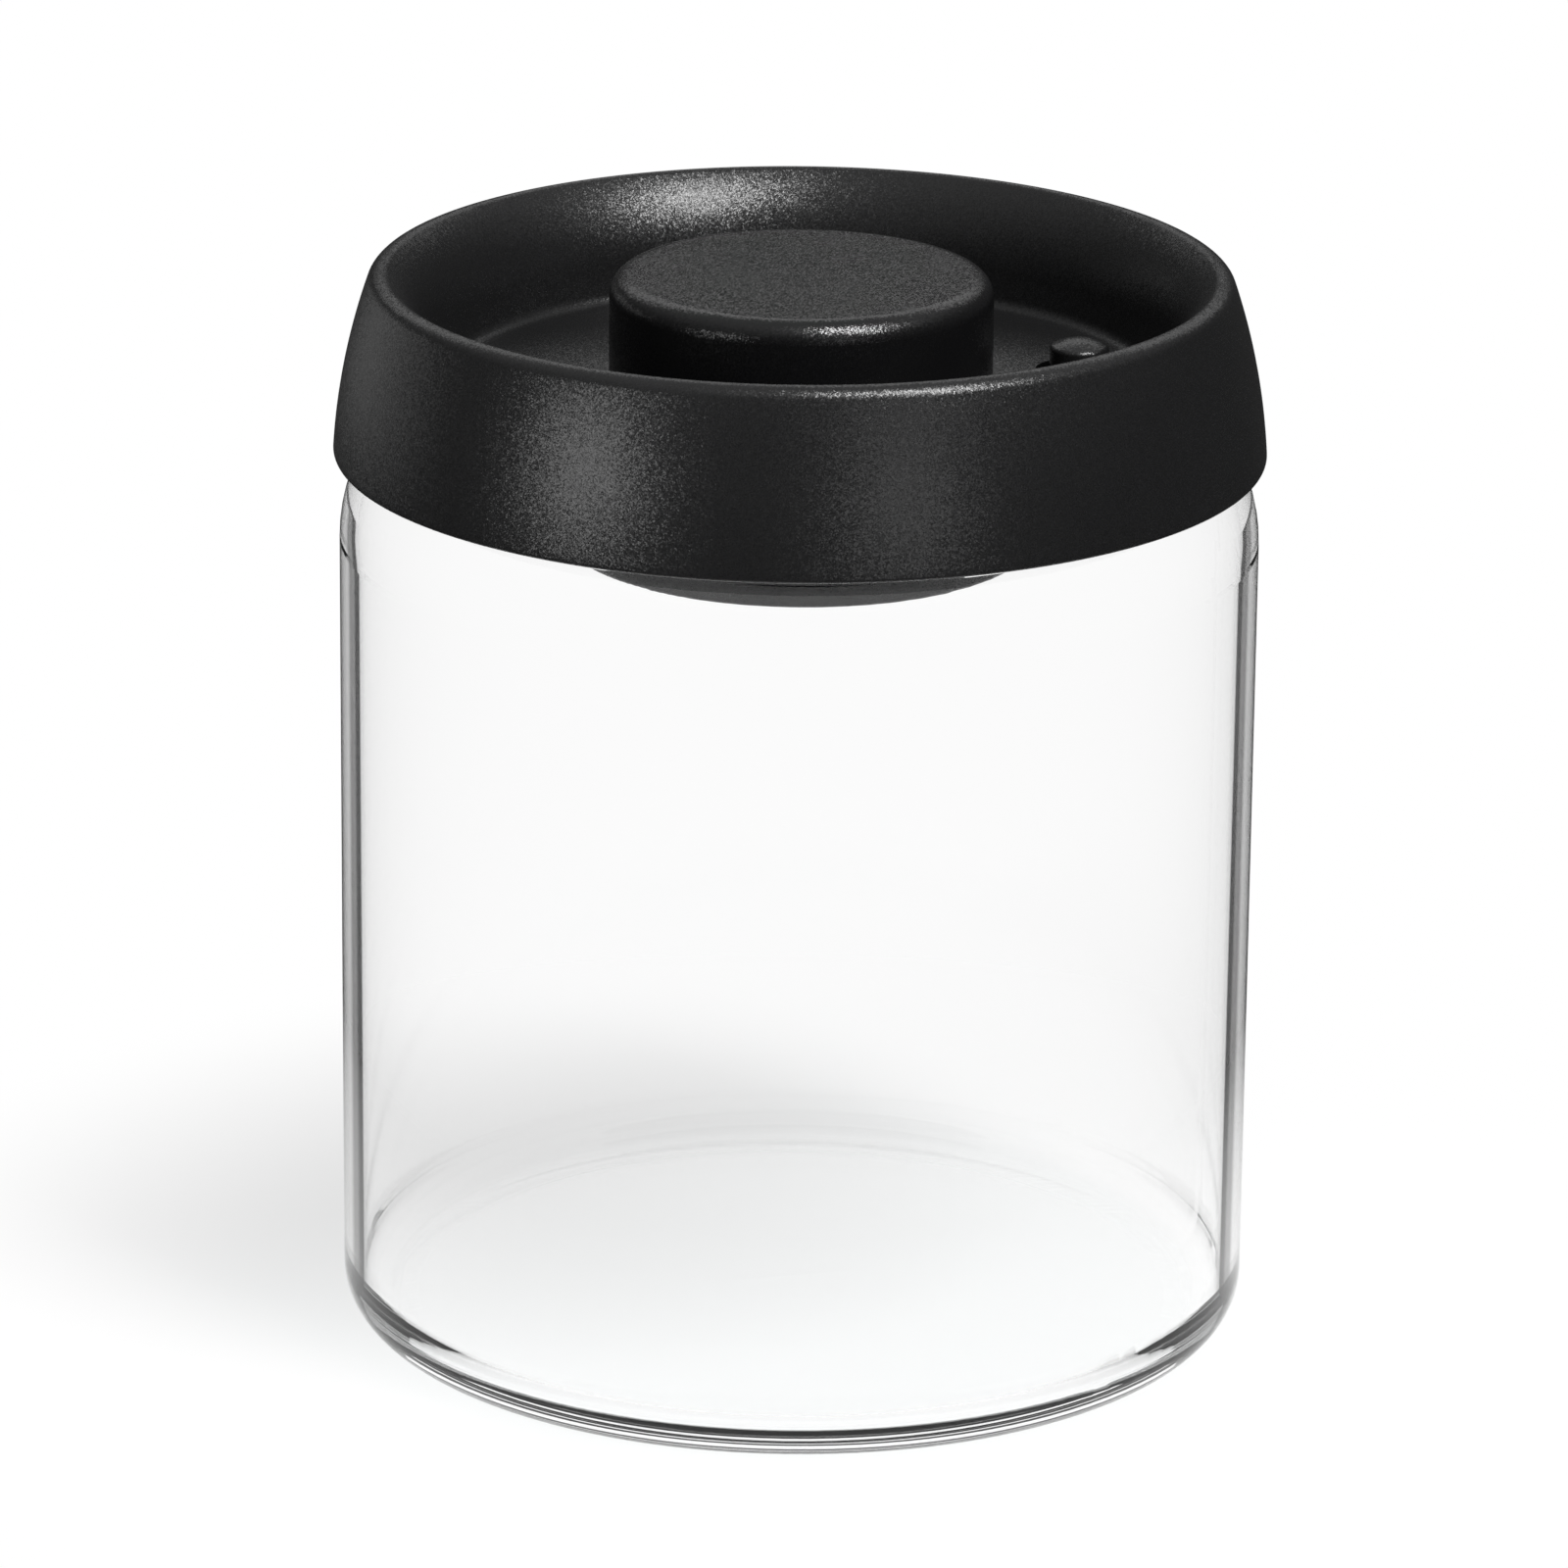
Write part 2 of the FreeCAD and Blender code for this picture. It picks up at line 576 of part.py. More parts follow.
def make_valve_guard():
    """Perforated cap on the cylinder's spigot that keeps crumbs out of the valve."""
    outer = cylinder_radius + GUARD_PROUD
    outline = Section(0, guard_foot)
    outline.line(outer - GUARD_ROUND, guard_foot)
    outline.turn(outer - GUARD_ROUND, guard_foot + GUARD_ROUND, 90)
    outline.line(outer, guard_top)
    outline.line(spigot_radius + GUARD_FIT, guard_top)
    outline.line(spigot_radius + GUARD_FIT, spigot_foot)
    outline.line(0, spigot_foot)
    holes = [rod(GUARD_HOLE, guard_foot, spigot_foot)]
    for index in range(1, GUARD_RINGS + 1):
        hole = rod(GUARD_HOLE, guard_foot, spigot_foot, index * GUARD_RING_PITCH)
        holes += around(hole, GUARD_RING_HOLES * index)
    return outline.solid().cut(holes)


def make_pump_knob():
    """Push knob: a cap with a rounded top edge and three ribbed screw pillars inside."""
    bore = KNOB_RADIUS - KNOB_WALL
    outline = Section(bore, piston_top)
    outline.line(KNOB_RADIUS, piston_top)
    outline.line(KNOB_RADIUS, knob_top - KNOB_ROUND)
    outline.turn(KNOB_RADIUS - KNOB_ROUND, knob_top - KNOB_ROUND, 90)
    outline.line(0, knob_top)
    outline.line(0, knob_ceiling)
    outline.line(bore - EDGE_ROUND, knob_ceiling)
    outline.turn(bore - EDGE_ROUND, knob_ceiling - EDGE_ROUND, -90)
    knob = outline.solid()
    pillar = rod(PILLAR_RADIUS, piston_top, knob_ceiling + EDGE_ROUND, pillar_circle)
    rib = Part.makeBox(
        bore + KNOB_WALL / 2 - pillar_circle,
        PILLAR_RIB,
        knob_ceiling + EDGE_ROUND - piston_top,
        FreeCAD.Vector(pillar_circle, -PILLAR_RIB / 2, piston_top),
    )
    shank_end = piston_foot + SCREW_HEAD_HEIGHT + SCREW_LENGTH
    pilot = rod(SCREW_RADIUS + SCREW_FIT, piston_top, shank_end + BOSS_FLOOR, pillar_circle)
    knob = knob.fuse(around(pillar.fuse(rib), PILLAR_COUNT))
    return knob.cut(around(pilot, PILLAR_COUNT)).removeSplitter()


def make_piston():
    """Piston: grooved rim for its seal and a tall closed housing for the return spring."""
    groove_r = cylinder_bore - SEAL_GROOVE
    housing_r = housing_bore + HOUSING_WALL
    outline = Section(housing_bore, piston_foot)
    outline.line(piston_radius, piston_foot)
    outline.line(piston_radius, piston_foot + RING_FLANGE)
    outline.line(groove_r, piston_foot + RING_FLANGE)
    outline.line(groove_r, piston_top - RING_FLANGE)
    outline.line(piston_radius, piston_top - RING_FLANGE)
    outline.line(piston_radius, piston_top)
    outline.line(housing_r, piston_top)
    outline.line(housing_r, housing_top)
    outline.line(0, housing_top)
    outline.line(0, housing_ceiling)
    outline.line(housing_bore, housing_ceiling)
    piston = outline.solid()
    seat = piston_foot + SCREW_HEAD_HEIGHT
    head_hole = rod(SCREW_HEAD_RADIUS + 2 * SCREW_FIT, piston_foot, seat, pillar_circle)
    shank_hole = rod(SCREW_RADIUS + 2 * SCREW_FIT, piston_foot, piston_top, pillar_circle)
    return piston.cut(around(head_hole.fuse(shank_hole), PILLAR_COUNT)).removeSplitter()


def make_piston_seal():
    """Silicone cup seal: its open side faces up, so air slips past it only on the way down."""
    inner = cylinder_bore - SEAL_GROOVE + SEAL_CLEARANCE
    heel_r = piston_radius
    lip_r = cylinder_bore - SEAL_CLEARANCE
    bottom = piston_foot + RING_FLANGE
    top = piston_top - RING_FLANGE - SEAL_CLEARANCE
    heel = bottom + SEAL_LIP
    outline = Section(inner, bottom)
    outline.line(heel_r, bottom)
    outline.line(heel_r, heel)
    outline.line(lip_r, top)
    outline.line(lip_r - SEAL_LIP, top)
    outline.line(heel_r - SEAL_LIP, heel)
    outline.line(inner + SEAL_LIP, heel)
    outline.line(inner + SEAL_LIP, top)
    outline.line(inner, top)
    return outline.solid()


def make_piston_screws():
    """Screws that hold the piston to the knob, their heads sunk in the piston's underside."""
    seat = piston_foot + SCREW_HEAD_HEIGHT
    one = moved(screw(seat, up=True), pillar_circle)
    return Part.Compound(around(one, PILLAR_COUNT))


def make_return_spring():
    """Coil spring between the cylinder's floor and the piston's spring housing."""
    bottom = chamber_floor + SPRING_END_GAP
    top = housing_ceiling - SPRING_END_GAP
    return coil_spring("return_spring", SPRING_WIRE, SPRING_RADIUS, bottom, top, SPRING_TURNS, SPRING_CLOSE)


# Pieces of the release valve
def make_release_button():
    """Domed button that slides in the deck, kept in by a flange below it."""
    flange_low = button_flange_top - BUTTON_FLANGE_HEIGHT
    bore = BUTTON_RADIUS - BUTTON_WALL
    shoulder_z = button_top - BUTTON_DOME - BUTTON_ROUND
    socket_r = STEM_RADIUS + STEM_FIT
    socket_top = button_ceiling + STEM_SOCKET
    outline = Section(bore, flange_low)
    outline.line(BUTTON_RADIUS + BUTTON_FLANGE, flange_low)
    outline.line(BUTTON_RADIUS + BUTTON_FLANGE, button_flange_top)
    outline.line(BUTTON_RADIUS, button_flange_top)
    outline.line(BUTTON_RADIUS, shoulder_z)
    outline.turn(BUTTON_RADIUS - BUTTON_ROUND, shoulder_z, BUTTON_BEND)
    outline.dome(button_top)
    outline.line(0, socket_top)
    outline.line(socket_r, socket_top)
    outline.line(socket_r, button_ceiling)
    outline.line(bore, button_ceiling)
    return moved(outline.solid(), release_x)


def make_release_stem():
    """Headed pin that carries the poppet below the lid base."""
    head_low = plug_foot - POPPET_HEIGHT - STEM_HEAD_HEIGHT
    shank = rod(STEM_RADIUS, head_low, button_ceiling + STEM_SOCKET)
    head = rod(STEM_HEAD_RADIUS, head_low, head_low + STEM_HEAD_HEIGHT)
    return moved(shank.fuse(head).removeSplitter(), release_x)


def make_release_seal():
    """Silicone poppet that closes the vent hole from below."""
    bore = STEM_RADIUS + STEM_FIT
    outline = Section(bore, plug_foot - POPPET_HEIGHT)
    outline.line(POPPET_RADIUS - POPPET_TAPER, plug_foot - POPPET_HEIGHT)
    outline.line(POPPET_RADIUS, plug_foot - POPPET_TAPER / 2)
    outline.line(POPPET_RADIUS, plug_foot)
    outline.line(bore, plug_foot)
    return moved(outline.solid(), release_x)


def make_release_spring():
    """Small coil spring between the lid base and the inside of the release button."""
    bottom = base_floor + SPRING_END_GAP
    top = button_ceiling - SPRING_END_GAP
    spring = coil_spring(
        "release_spring", RELEASE_WIRE, RELEASE_COIL, bottom, top, RELEASE_TURNS, RELEASE_CLOSE
    )
    return moved(spring, release_x)


PIECES = {
    "glass_jar": make_jar,
    "lid_cover": make_lid_cover,
    "lid_base": make_lid_base,
    "lid_gasket": make_lid_gasket,
    "pump_cylinder": make_pump_cylinder,
    "cylinder_gasket": make_cylinder_gasket,
    "cylinder_screws": make_cylinder_screws,
    "inlet_valve": make_inlet_valve,
    "valve_guard": make_valve_guard,
    "pump_knob": make_pump_knob,
    "piston": make_piston,
    "piston_seal": make_piston_seal,
    "piston_screws": make_piston_screws,
    "return_spring": make_return_spring,
    "release_button": make_release_button,
    "release_stem": make_release_stem,
    "release_seal": make_release_seal,
    "release_spring": make_release_spring,
}

os.makedirs("parts", exist_ok=True)
for node, make in PIECES.items():
    make().exportStep(f"parts/{node}.step")
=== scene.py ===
"""Studio scene of a vacuum seal canister: finishes, lid cover, springs, light and camera.

Blender's objects are in metres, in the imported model's frame: +Z up from the jar's base, +X towards the
release button.
"""
import json
import math

import bmesh
import bpy
from mathutils import Matrix, Vector


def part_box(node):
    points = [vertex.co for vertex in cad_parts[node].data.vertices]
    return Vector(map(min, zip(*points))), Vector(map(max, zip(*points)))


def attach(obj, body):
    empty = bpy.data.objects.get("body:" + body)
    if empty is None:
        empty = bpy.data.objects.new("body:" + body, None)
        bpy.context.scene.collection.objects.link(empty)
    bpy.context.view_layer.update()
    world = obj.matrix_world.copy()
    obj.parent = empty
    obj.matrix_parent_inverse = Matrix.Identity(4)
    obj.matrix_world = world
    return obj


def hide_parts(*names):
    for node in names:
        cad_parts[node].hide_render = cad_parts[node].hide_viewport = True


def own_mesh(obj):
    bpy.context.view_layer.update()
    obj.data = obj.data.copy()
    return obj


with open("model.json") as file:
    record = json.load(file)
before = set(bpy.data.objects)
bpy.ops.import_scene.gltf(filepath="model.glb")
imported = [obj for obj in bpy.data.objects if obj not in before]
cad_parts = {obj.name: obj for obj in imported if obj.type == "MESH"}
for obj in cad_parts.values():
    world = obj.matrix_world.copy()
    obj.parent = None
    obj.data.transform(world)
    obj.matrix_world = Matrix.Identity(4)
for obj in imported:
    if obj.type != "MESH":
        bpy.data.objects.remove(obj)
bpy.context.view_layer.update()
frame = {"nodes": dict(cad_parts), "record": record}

MM = 0.001
scene = bpy.context.scene


# Finishes
class Finish:
    """A node material in the making, with short ways to add and join its nodes."""

    def __init__(self, name, values):
        self.material = bpy.data.materials.new(name)
        self.material.use_nodes = True
        self.tree = self.material.node_tree
        self.shader = self.tree.nodes["Principled BSDF"]
        self.output = self.tree.nodes["Material Output"]
        for socket, value in values.items():
            self.shader.inputs[socket].default_value = value
        self.place = self.node("ShaderNodeTexCoord").outputs["Object"]

    def node(self, kind, values=None, **settings):
        """Adds a node, sets its properties and the values of its sockets."""
        made = self.tree.nodes.new(kind)
        for name, setting in settings.items():
            setattr(made, name, setting)
        for socket, value in (values or {}).items():
            made.inputs[socket].default_value = value
        return made

    def link(self, source, target):
        """Joins an output to an input."""
        self.tree.links.new(source, target)

    def feed(self, socket, source):
        """Joins an output to one of the shader's own sockets."""
        self.link(source, self.shader.inputs[socket])

    def noise(self, grain, detail=2.0, roughness=0.5):
        """Noise whose features are about grain metres across."""
        made = self.node("ShaderNodeTexNoise", {"Scale": 1 / grain, "Detail": detail, "Roughness": roughness})
        self.link(self.place, made.inputs["Vector"])
        return made.outputs["Fac"]

    def facets(self, grain, lean):
        """Leans the surface at random from one facet to the next, each about grain metres across."""
        cell = self.node("ShaderNodeTexVoronoi", {"Scale": 1 / grain})
        self.link(self.place, cell.inputs["Vector"])
        centred = self.node("ShaderNodeVectorMath", {1: (0.5, 0.5, 0.5)}, operation="SUBTRACT")
        self.link(cell.outputs["Color"], centred.inputs[0])
        leant = self.node("ShaderNodeVectorMath", {1: (lean, lean, lean)}, operation="MULTIPLY_ADD")
        self.link(centred.outputs["Vector"], leant.inputs[0])
        self.link(self.node("ShaderNodeNewGeometry").outputs["Normal"], leant.inputs[2])
        turned = self.node("ShaderNodeVectorMath", operation="NORMALIZE")
        self.link(leant.outputs["Vector"], turned.inputs[0])
        self.feed("Normal", turned.outputs["Vector"])

    def ranged(self, source, low, high, start=0.0, end=1.0):
        """A value spread from start..end to low..high."""
        made = self.node(
            "ShaderNodeMapRange", {"From Min": start, "From Max": end, "To Min": low, "To Max": high}
        )
        self.link(source, made.inputs["Value"])
        return made.outputs["Result"]

    def blended(self, share, first, second):
        """A colour between two by a share."""
        made = self.node("ShaderNodeMix", data_type="RGBA")
        made.inputs["A"].default_value = (*first, 1)
        made.inputs["B"].default_value = (*second, 1)
        self.link(share, made.inputs["Factor"])
        return made.outputs["Result"]

    def bump(self, height, depth):
        """Adds relief of that depth in metres, on top of any relief before it."""
        made = self.node("ShaderNodeBump", {"Strength": 1.0, "Distance": depth})
        self.link(height, made.inputs["Height"])
        socket = self.shader.inputs["Normal"]
        if socket.is_linked:
            self.link(socket.links[0].from_socket, made.inputs["Normal"])
        self.link(made.outputs["Normal"], socket)


def sparked_plastic():
    """Black plastic from a spark-eroded mould: matt, with fine sharp grain that glints."""
    made = Finish("sparked black plastic", {"Specular IOR Level": 0.5, "IOR": 1.5})
    grain = made.noise(0.18 * MM, detail=1.0)
    broad = made.noise(14 * MM, detail=2.0)
    made.feed("Base Color", made.blended(broad, (0.0065, 0.0065, 0.0068), (0.0085, 0.0085, 0.0088)))
    made.feed("Roughness", made.ranged(grain, 0.26, 0.36, 0.3, 0.7))
    made.facets(grain=0.15 * MM, lean=0.24)
    made.bump(grain, depth=0.004 * MM)
    return made.material


def satin_plastic():
    """Black plastic of the knob: smoother than the cover, with a soft even sheen."""
    made = Finish("satin black plastic", {"Specular IOR Level": 0.5, "IOR": 1.5})
    broad = made.noise(9 * MM, detail=3.0)
    made.feed("Base Color", made.blended(broad, (0.0045, 0.0045, 0.0048), (0.006, 0.006, 0.0063)))
    made.feed("Roughness", made.ranged(broad, 0.22, 0.28, 0.3, 0.7))
    made.facets(grain=0.15 * MM, lean=0.24)
    return made.material


EDGE_PAINTED_SHADE = {              # painted edge shade: what passes the outer wall, by how edge-on it is seen, as grey lines that stand in for refracted dark surroundings
    0.690: 1.0,
    0.722: 0.70,
    0.730: 0.02,
    0.755: 0.02,
    0.770: 0.14,
    0.800: 0.14,
    0.830: 0.90,
    0.900: 1.0,
    0.940: 0.60,
}
INNER_WALL = 52.6 * MM      # the painted edge shade is drawn on the outer wall alone, from the inner radius on
OUTER_WALL = 54.6 * MM
HEEL_RISE = 9.0 * MM        # towards the heel the painted edge shade gets thinner
HEEL_SHARE = 0.87
LIGHT_TINT = (0.96, 0.97, 0.97, 1)   # what the glass lets through of light and shadow


def clear_glass():
    """Clear glass whose outer wall has painted shade at its edge: grey lines from a ramp on how edge-on it is
    seen, put into its colour in place of refracted dark surroundings. It lets light through.
    """
    made = Finish("clear glass", {"Roughness": 0.0, "IOR": 1.47, "Transmission Weight": 1.0})
    flat = made.node("ShaderNodeVectorMath", {1: (1, 1, 0)}, operation="MULTIPLY")
    made.link(made.place, flat.inputs[0])
    radius = made.node("ShaderNodeVectorMath", operation="LENGTH")
    made.link(flat.outputs["Vector"], radius.inputs[0])
    outer = made.ranged(radius.outputs["Value"], 0.0, 1.0, INNER_WALL, OUTER_WALL)
    height = made.node("ShaderNodeSeparateXYZ")
    made.link(made.place, height.inputs["Vector"])
    painted_edge_mask = made.node("ShaderNodeMath", operation="MULTIPLY")
    made.link(outer, painted_edge_mask.inputs[0])
    made.link(made.ranged(height.outputs["Z"], HEEL_SHARE, 1.0, 0.0, HEEL_RISE), painted_edge_mask.inputs[1])
    # painted shade: Layer Weight's facing picks greys from the ramp, which go into the glass's colour as its
    # edge lines
    edge = made.node("ShaderNodeLayerWeight", {"Blend": 0.5})
    drawn = made.node("ShaderNodeMath", operation="MULTIPLY")
    made.link(edge.outputs["Facing"], drawn.inputs[0])
    made.link(painted_edge_mask.outputs["Value"], drawn.inputs[1])
    painted_edge_ramp = made.node("ShaderNodeValToRGB")
    ramp = painted_edge_ramp.color_ramp.elements
    ramp.remove(ramp[1])
    for index, (facing, tone) in enumerate(EDGE_PAINTED_SHADE.items()):
        stop = ramp[0] if index == 0 else ramp.new(facing)
        stop.position = facing
        stop.color = (tone, tone, tone, 1)
    made.link(drawn.outputs["Value"], painted_edge_ramp.inputs["Fac"])
    made.feed("Base Color", painted_edge_ramp.outputs["Color"])
    path = made.node("ShaderNodeLightPath")
    clear = made.node("ShaderNodeBsdfTransparent", {"Color": LIGHT_TINT})
    lighting = made.node("ShaderNodeMath", operation="MAXIMUM")
    mixed = made.node("ShaderNodeMixShader")
    made.link(path.outputs["Is Shadow Ray"], lighting.inputs[0])
    made.link(path.outputs["Is Diffuse Ray"], lighting.inputs[1])
    made.link(lighting.outputs["Value"], mixed.inputs["Fac"])
    made.link(made.shader.outputs["BSDF"], mixed.inputs[1])
    made.link(clear.outputs["BSDF"], mixed.inputs[2])
    made.link(mixed.outputs["Shader"], made.output.inputs["Surface"])
    return made.material


def milky_silicone():
    """Translucent white silicone with a faint cloudiness and a dull skin."""
    made = Finish(
        "milky silicone",
        {
            "Subsurface Weight": 0.35,
            "Subsurface Radius": (1.0, 1.0, 0.95),
            "Subsurface Scale": 1.2 * MM,
            "IOR": 1.41,
        },
    )
    cloud = made.noise(4 * MM, detail=3.0)
    skin = made.noise(0.3 * MM)
    made.feed("Base Color", made.blended(cloud, (0.70, 0.72, 0.71), (0.80, 0.82, 0.81)))
    made.feed("Roughness", made.ranged(cloud, 0.42, 0.55))
    made.bump(skin, depth=0.01 * MM)
    return made.material


def grey_plastic():
    """Grey plastic of the hidden pump pieces, smooth as it leaves the mould."""
    made = Finish("moulded grey plastic", {"Specular IOR Level": 0.5})
    flow = made.noise(7 * MM, detail=4.0)
    skin = made.noise(0.25 * MM)
    made.feed("Base Color", made.blended(flow, (0.48, 0.49, 0.50), (0.56, 0.57, 0.58)))
    made.feed("Roughness", made.ranged(flow, 0.35, 0.5))
    made.bump(skin, depth=0.008 * MM)
    return made.material


def drawn_steel():
    """Bright drawn steel wire and plated screws, with fine drawing marks."""
    made = Finish("drawn steel", {"Metallic": 1.0})
    marks = made.noise(0.15 * MM, detail=3.0, roughness=0.7)
    tone = made.noise(3 * MM)
    made.feed("Base Color", made.blended(tone, (0.56, 0.57, 0.59), (0.66, 0.67, 0.68)))
    made.feed("Roughness", made.ranged(marks, 0.18, 0.4))
    made.bump(marks, depth=0.004 * MM)
    return made.material


FINISHES = {
    "clear_glass": clear_glass(),
    "black_plastic": sparked_plastic(),
    "knob_plastic": satin_plastic(),
    "grey_plastic": grey_plastic(),
    "milky_silicone": milky_silicone(),
    "steel": drawn_steel(),
}
for subpart in frame["record"]["subparts"]:
    frame["nodes"][subpart["node"]].material_slots[0].material = FINISHES[subpart["material_slot"]]


# Geometry Nodes
class Nodes:
    """A Geometry Nodes tree in the making, with named inputs for its sizes."""

    def __init__(self, name, inputs):
        self.tree = bpy.data.node_groups.new(name, "GeometryNodeTree")
        self.sockets = {}
        for label, kind in inputs.items():
            self.sockets[label] = self.tree.interface.new_socket(label, in_out="INPUT", socket_type=kind)
        self.tree.interface.new_socket("Geometry", in_out="OUTPUT", socket_type="NodeSocketGeometry")
        self.inputs = self.tree.nodes.new("NodeGroupInput").outputs
        self.result = self.tree.nodes.new("NodeGroupOutput").inputs["Geometry"]

    def node(self, kind, links=None, values=None, **settings):
        """Adds a node, sets its properties and values, and links outputs to its inputs."""
        made = self.tree.nodes.new(kind)
        for name, setting in settings.items():
            setattr(made, name, setting)
        for socket, value in (values or {}).items():
            made.inputs[socket].default_value = value
        for socket, source in (links or {}).items():
            self.tree.links.new(source, made.inputs[socket])
        return made

    def sum(self, operation, first, second):
        """A Math node between two outputs or plain numbers."""
        made = self.node("ShaderNodeMath", operation=operation)
        for socket, term in zip(made.inputs, (first, second)):
            if isinstance(term, (int, float)):
                socket.default_value = term
            else:
                self.tree.links.new(term, socket)
        return made.outputs["Value"]

    def finished(self, geometry, material):
        """Ends the tree: real geometry, with its finish."""
        real = self.node("GeometryNodeRealizeInstances", {"Geometry": geometry})
        dressed = self.node(
            "GeometryNodeSetMaterial", {"Geometry": real.outputs["Geometry"]}, {"Material": material}
        )
        self.tree.links.new(dressed.outputs["Geometry"], self.result)
        return self


def grown(name, nodes, sizes):
    """Plain mesh object that a tree grows for these sizes."""
    seed = bpy.data.objects.new(name + " seed", bpy.data.meshes.new(name + " seed"))
    scene.collection.objects.link(seed)
    modifier = seed.modifiers.new("grow", "NODES")
    modifier.node_group = nodes.tree
    for label, size in sizes.items():
        modifier[nodes.sockets[label].identifier] = size
    depsgraph = bpy.context.evaluated_depsgraph_get()
    mesh = bpy.data.meshes.new_from_object(seed.evaluated_get(depsgraph))
    bpy.data.objects.remove(seed)
    mesh.name = name
    piece = bpy.data.objects.new(name, mesh)
    scene.collection.objects.link(piece)
    return piece


# Lid cover. Its heights and radii are in millimetres until they go into a mesh.
DECK_THICKNESS = 2.2
KNOB_CLEARANCE = 0.25
DECK_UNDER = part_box("lid_base")[1].z / MM
DECK_TOP = DECK_UNDER + DECK_THICKNESS
SKIRT_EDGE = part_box("lid_cover")[0].z / MM
COVER_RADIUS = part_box("lid_cover")[1].x / MM
KNOB_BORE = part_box("pump_knob")[1].x / MM + KNOB_CLEARANCE
EDGE_ROUND = 0.5
SKIRT_WALL = 2.0
SKIRT_BEND = 76.63          # radius of the bowed skirt in section
SKIRT_TILT = 3.8            # degrees that the skirt leans in at its edge, and at the rim
RIM_TILT = 19.2
RIM_ROLL = 2.0
RIDGE_ROUND = 1.0           # small round on the rim's inner side
RIDGE_TILT = 48.0           # degrees that the dish wall leans in right under the rim, and at its foot
FOOT_TILT = 8.0
DISH_BEND = 15.7            # radius of the dish wall in section
FOOT_ROUND = 1.6
FLAT_MARGIN = 0.2           # narrow border that keeps the deck's shading flat beside its rounds
LEDGE_RADIUS = 46.5         # underside of the deck, out to the groove behind the skirt
GROOVE_SIDE = (47.4, 122.0)
GROOVE_MIDDLE = (49.2, 126.5)
GROOVE_ROUND = 1.6
GROOVE_END = 20.0           # degrees where the groove's round ends, and where the skirt's inside starts
GROOVE_TILT = 16.6
WELL_RADIUS = 5.3           # well round the release button, and the hole that it moves in
WELL_DEPTH = 0.9
BUTTON_HOLE = 3.8
LUG_COUNT = 6               # snap lugs in the skirt, which hold the lid's base
LUG_ANGLE = 16.0
LUG_INSIDE = 52.7
LUG_OUTSIDE = 54.0
LUG_LOW = 111.6
LUG_HIGH = 113.2
LUG_POINTS = 13             # along a lug's bend
COVER_TURNS = 240           # steps round the axis
PIN_SIDES = 96
PIN_SPARE = 1.0             # how far a cutting pin stands past what it cuts
SLIVER = 0.002              # edges shorter than this are left over from cutting
CREASE = 24.0               # degrees past which an edge stays sharp


class Outline:
    """Points of a closed section, in millimetres from the axis and above the table."""

    def __init__(self):
        self.points = []

    def to(self, r, z):
        """Straight on to a point."""
        self.points.append((r, z))

    def arc(self, r, z, radius, start, end, steps):
        """Arc about a centre, by the degrees that its rays make with the outward direction."""
        for step in range(steps + 1):
            ray = math.radians(start + (end - start) * step / steps)
            self.points.append((r + radius * math.cos(ray), z + radius * math.sin(ray)))

    def carry(self, radius, start, end, steps):
        """Arc that carries on from the last point, bulging out of the material."""
        r, z = self.points.pop()
        ray = math.radians(start)
        self.arc(r - radius * math.cos(ray), z - radius * math.sin(ray), radius, start, end, steps)


def cover_outline():
    """Section of the cover: bowed skirt, rolled rim, dish wall, deck, and the groove behind the skirt."""
    made = Outline()
    made.arc(COVER_RADIUS - EDGE_ROUND, SKIRT_EDGE + EDGE_ROUND, EDGE_ROUND, -90, SKIRT_TILT, 8)
    made.carry(SKIRT_BEND, SKIRT_TILT, RIM_TILT, 28)
    made.carry(RIM_ROLL, RIM_TILT, 90, 12)
    made.carry(RIDGE_ROUND, 90, 180 - RIDGE_TILT, 8)
    made.carry(DISH_BEND, 180 - RIDGE_TILT, 180 - FOOT_TILT, 32)
    foot_z = DECK_TOP + FOOT_ROUND * (1 - math.sin(math.radians(FOOT_TILT)))
    wall_r, wall_z = made.points[-1]
    foot_r = wall_r - (wall_z - foot_z) * math.tan(math.radians(FOOT_TILT))
    turn_r = foot_r - FOOT_ROUND * math.cos(math.radians(FOOT_TILT))
    made.arc(turn_r, DECK_TOP + FOOT_ROUND, FOOT_ROUND, -FOOT_TILT, -90, 8)
    made.to(turn_r - FLAT_MARGIN, DECK_TOP)
    made.to(KNOB_BORE + EDGE_ROUND + FLAT_MARGIN, DECK_TOP)
    made.arc(KNOB_BORE + EDGE_ROUND, DECK_TOP - EDGE_ROUND, EDGE_ROUND, 90, 180, 6)
    made.to(KNOB_BORE, DECK_UNDER)
    made.to(LEDGE_RADIUS, DECK_UNDER)
    made.to(*GROOVE_SIDE)
    made.arc(*GROOVE_MIDDLE, GROOVE_ROUND, 180, GROOVE_END, 10)
    tilt = math.radians(SKIRT_TILT)
    skirt_r = COVER_RADIUS - EDGE_ROUND - (SKIRT_BEND - EDGE_ROUND) * math.cos(tilt)
    skirt_z = SKIRT_EDGE + EDGE_ROUND - (SKIRT_BEND - EDGE_ROUND) * math.sin(tilt)
    made.arc(skirt_r, skirt_z, SKIRT_BEND - SKIRT_WALL, GROOVE_TILT, SKIRT_TILT, 16)
    made.to(COVER_RADIUS - SKIRT_WALL + EDGE_ROUND, SKIRT_EDGE)
    return made.points


